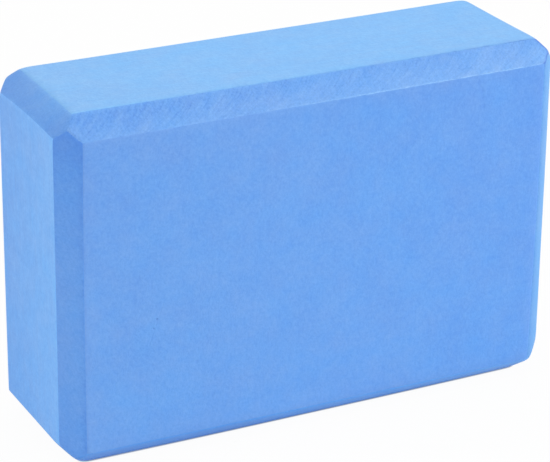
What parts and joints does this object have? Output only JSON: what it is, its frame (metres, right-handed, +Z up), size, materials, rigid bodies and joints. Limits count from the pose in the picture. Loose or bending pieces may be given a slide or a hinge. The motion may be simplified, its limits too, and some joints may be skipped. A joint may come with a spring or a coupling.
{
  "type": "foam block",
  "caption": "Solid closed-cell foam block with every edge cut at 45 degrees and mitred corners, a support for floor exercise, stretching and propping.",
  "frame": {"origin": "middle of the long narrow face that the block stands on", "axes": "+X along the length, +Y through the thickness, +Z up the height"},
  "size_m": [0.228, 0.076, 0.154],
  "materials": {
    "foam": "matte closed-cell foam with a fine skin, sawn along the edge cuts"
  },
  "bodies": {
    "root": {"block": "foam"}
  },
  "joints": []
}
